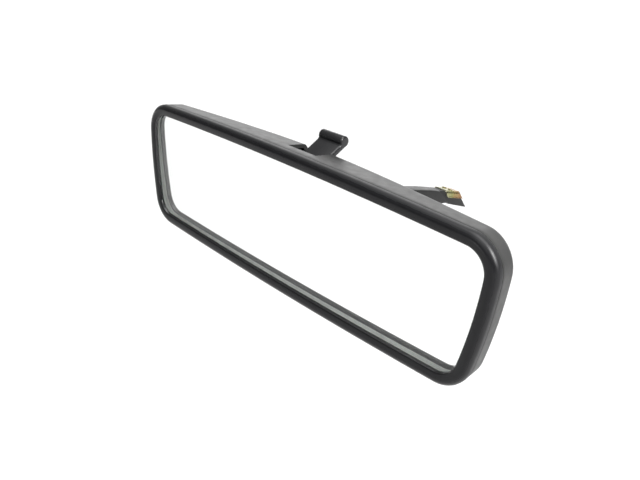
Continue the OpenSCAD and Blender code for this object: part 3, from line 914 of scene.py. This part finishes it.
def make_materials():
    """Every material, by its slot's name."""
    return {
        "rim_plastic": rim_black(),
        "rim_lip": moulded_plastic("lip_black", (0.008, 0.008, 0.009), (0.011, 0.011, 0.012),
                                   (0.16, 0.22), 2200, 0.000004, 0.8),
        "shell_plastic": moulded_plastic("shell_black", (0.02, 0.02, 0.02), (0.028, 0.028, 0.027),
                                         (0.36, 0.46), 1800, 0.00002),
        "lever_plastic": moulded_plastic("lever_black", (0.012, 0.012, 0.013), (0.016, 0.016, 0.017),
                                         (0.16, 0.24), 2600, 0.000004),
        "arm_plastic": moulded_plastic("arm_black", (0.008, 0.008, 0.008), (0.012, 0.012, 0.012),
                                       (0.34, 0.44), 1500, 0.00002, 0.3),
        "inner_plastic": moulded_plastic("inner_black", (0.03, 0.03, 0.032), (0.045, 0.045, 0.047),
                                         (0.4, 0.55), 1200, 0.00003),
        "liner_nylon": moulded_plastic("nylon", (0.70, 0.68, 0.60), (0.80, 0.78, 0.70),
                                       (0.35, 0.5), 900, 0.00001),
        "film": moulded_plastic("film_grey", (0.26, 0.27, 0.29), (0.33, 0.34, 0.36),
                                (0.5, 0.65), 900, 0.00001),
        "foam": open_foam(),
        "bare_steel": steel("zinc_steel", (0.50, 0.51, 0.53), (0.64, 0.65, 0.67), (0.28, 0.42)),
        "spring_steel": steel("blued_steel", (0.28, 0.30, 0.35), (0.40, 0.41, 0.45), (0.22, 0.36), (1, 8, 1)),
        "plated_clip": passivated("passivated_zinc", False),
        "plated_edge": passivated("cut_zinc", True),
        "glass": clear_glass(),
        "silver": silver(),
        "ground_edge": ground_edge(),
    }


def paint(obj, *materials):
    """Gives an object its materials and keeps which face takes which."""
    faces = obj.data.polygons
    slots = np.zeros(len(faces), dtype=np.int32)
    faces.foreach_get("material_index", slots)
    obj.data.materials.clear()
    for material in materials:
        obj.data.materials.append(material)
    faces.foreach_set("material_index", np.minimum(slots, len(materials) - 1))


def add_piece(obj, body, slot, *nodes):
    """Puts a piece on its body, in place of the nodes it stands for; the slot argument is not used."""
    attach(obj, body)
    if nodes:
        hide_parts(*nodes)


def dress_cad_nodes(looks):
    """Gives every CAD node the material of its slot, whether it ends up shown or not."""
    for part in frame["record"]["subparts"]:
        paint(frame["nodes"][part["node"]], looks[part["material_slot"]])


# ---------------------------------------------------------------- floor, light, camera


def make_floor():
    """Plain pale floor a little below the part."""
    size, drop = 6.0, 0.30
    level = cad_low.z - drop
    mesh = bpy.data.meshes.new("floor")
    mesh.from_pydata([(-size, -size, level), (size, -size, level), (size, size, level), (-size, size, level)],
                     [], [(0, 1, 2, 3)])
    floor = bpy.data.objects.new("floor", mesh)
    scene.collection.objects.link(floor)
    nodes = Nodes("pale_floor")
    colour = nodes.ramp(nodes.noise(3, 3), [(0.3, (0.86, 0.86, 0.86)), (0.7, (0.88, 0.88, 0.88))])
    nodes.set(Base_Color=colour, Roughness=0.9, Specular_IOR_Level=0.0)
    paint(floor, nodes.material)


def direction_to(azimuth, elevation):
    """Direction away from the head; azimuth 0 is in front of the glass, 90 degrees on the right."""
    flat = math.cos(elevation)
    return Vector((math.sin(azimuth) * flat, -math.cos(azimuth) * flat, math.sin(elevation)))


def soft_box(name, azimuth, elevation, size, power):
    """Square light that faces the head."""
    away = direction_to(math.radians(azimuth), math.radians(elevation))
    light = bpy.data.lights.new(name, "AREA")
    light.shape = "RECTANGLE"
    light.size = size
    light.size_y = size
    light.energy = power
    lamp = bpy.data.objects.new(name, light)
    lamp.location = HEAD + away * LIGHT_DISTANCE
    lamp.rotation_mode = "QUATERNION"
    lamp.rotation_quaternion = away.to_track_quat("Z", "Y")
    scene.collection.objects.link(lamp)


# Small soft boxes: azimuth and elevation in degrees, width in metres and power
LIGHT_DISTANCE = 0.35
LIGHTS = {
    "side_box": (86, 33, 0.12, 1.3),
    "front_box": (-6, -5, 0.04, 0.03)}

# Soft sources of the studio: direction (x right, y behind the mirror, z up) and strength
SOURCES = (
    ((0.0, 0.0, 1.0), 5.5),
    ((0.0, -0.75, 0.66), 1.7),
    ((0.75, 0.0, 0.66), 0.2),
    ((0.0, 1.0, 0.12), 1.5),
    ((-0.7, 0.7, 0.12), 2.2),
    ((-1.0, 0.0, 0.2), 0.55),
    ((-0.7, -0.7, 0.12), 0.08))
SOURCE_FOCUS = 10.0
STUDIO_DIM = 0.02


def math_node(tree, operation, first, second):
    """Output of a maths node on two values or sockets."""
    node = tree.nodes.new("ShaderNodeMath")
    node.operation = operation
    for socket, value in zip(node.inputs, (first, second)):
        if isinstance(value, bpy.types.NodeSocket):
            tree.links.new(value, socket)
        else:
            socket.default_value = value
    return node.outputs["Value"]


def source_glow(tree, view, direction, strength):
    """Brightness of one soft source, which falls off round its direction."""
    facing = tree.nodes.new("ShaderNodeVectorMath")
    facing.operation = "DOT_PRODUCT"
    facing.inputs[1].default_value = Vector(direction).normalized()
    tree.links.new(view, facing.inputs[0])
    ahead = math_node(tree, "MAXIMUM", facing.outputs["Value"], 0.0)
    return math_node(tree, "MULTIPLY", math_node(tree, "POWER", ahead, SOURCE_FOCUS), strength)


def make_world():
    """Dark studio with a few large soft sources, the strongest one overhead."""
    world = bpy.data.worlds.new("studio")
    scene.world = world
    world.use_nodes = True
    tree = world.node_tree
    view = tree.nodes.new("ShaderNodeTexCoord").outputs["Generated"]
    total = STUDIO_DIM
    for direction, strength in SOURCES:
        total = math_node(tree, "ADD", source_glow(tree, view, direction, strength), total)
    background = tree.nodes["Background"]
    background.inputs["Color"].default_value = (1.0, 1.0, 1.0, 1.0)
    tree.links.new(total, background.inputs["Strength"])


def make_camera():
    """Camera in front of the head, on its right and above it, rolled a little."""
    back = direction_to(CAMERA_AZIMUTH, CAMERA_ELEVATION)
    roll = Matrix.Rotation(CAMERA_ROLL, 3, "Z").to_quaternion()
    data = bpy.data.cameras.new("camera")
    data.lens = CAMERA_LENS
    data.clip_start = 0.01
    camera = bpy.data.objects.new("camera", data)
    camera.rotation_mode = "QUATERNION"
    camera.rotation_quaternion = (-back).to_track_quat("-Z", "Y") @ roll
    camera.location = HEAD + Vector(CAMERA_TARGET) * MM + back * CAMERA_DISTANCE
    scene.collection.objects.link(camera)
    scene.camera = camera


# ---------------------------------------------------------------- put it together

make_camera()
looks = make_materials()
dress_cad_nodes(looks)

bezel = make_bezel()
paint(bezel, looks["rim_plastic"], looks["rim_lip"])
add_piece(bezel, "head", "rim_plastic", "front_bezel")

housing = make_housing()
paint(housing, looks["shell_plastic"])
add_piece(housing, "head", "shell_plastic", "rear_housing")

glass = make_glass()
paint(glass, looks["glass"], looks["silver"], looks["ground_edge"])
add_piece(glass, "head", "glass", "mirror_glass")

lever = make_lever()
paint(lever, looks["lever_plastic"])
add_piece(lever, "lever", "lever_plastic", "day_night_lever")

arm = make_arm()
paint(arm, looks["arm_plastic"])
add_piece(arm, "arm", "arm_plastic", "arm_body")

foot = make_foot()
paint(foot, looks["arm_plastic"])
add_piece(foot, "arm", "arm_plastic", "foot_body")

saddle, leaf = make_clip()
for sheet_part in (saddle, leaf):
    paint(sheet_part, looks["plated_clip"], looks["plated_edge"])
    add_piece(sheet_part, "arm", "plated_clip", "spring_clip")

for foam_name, foam_low in FOAM_LOWS.items():
    strip = make_foam(foam_name, foam_low, foam_low + FOAM_H)
    paint(strip, looks["foam"])
    add_piece(strip, "head", "foam", "foam_pads")

make_floor()
make_world()
for light_name, light_values in LIGHTS.items():
    soft_box(light_name, *light_values)
scene.view_settings.view_transform = "Standard"
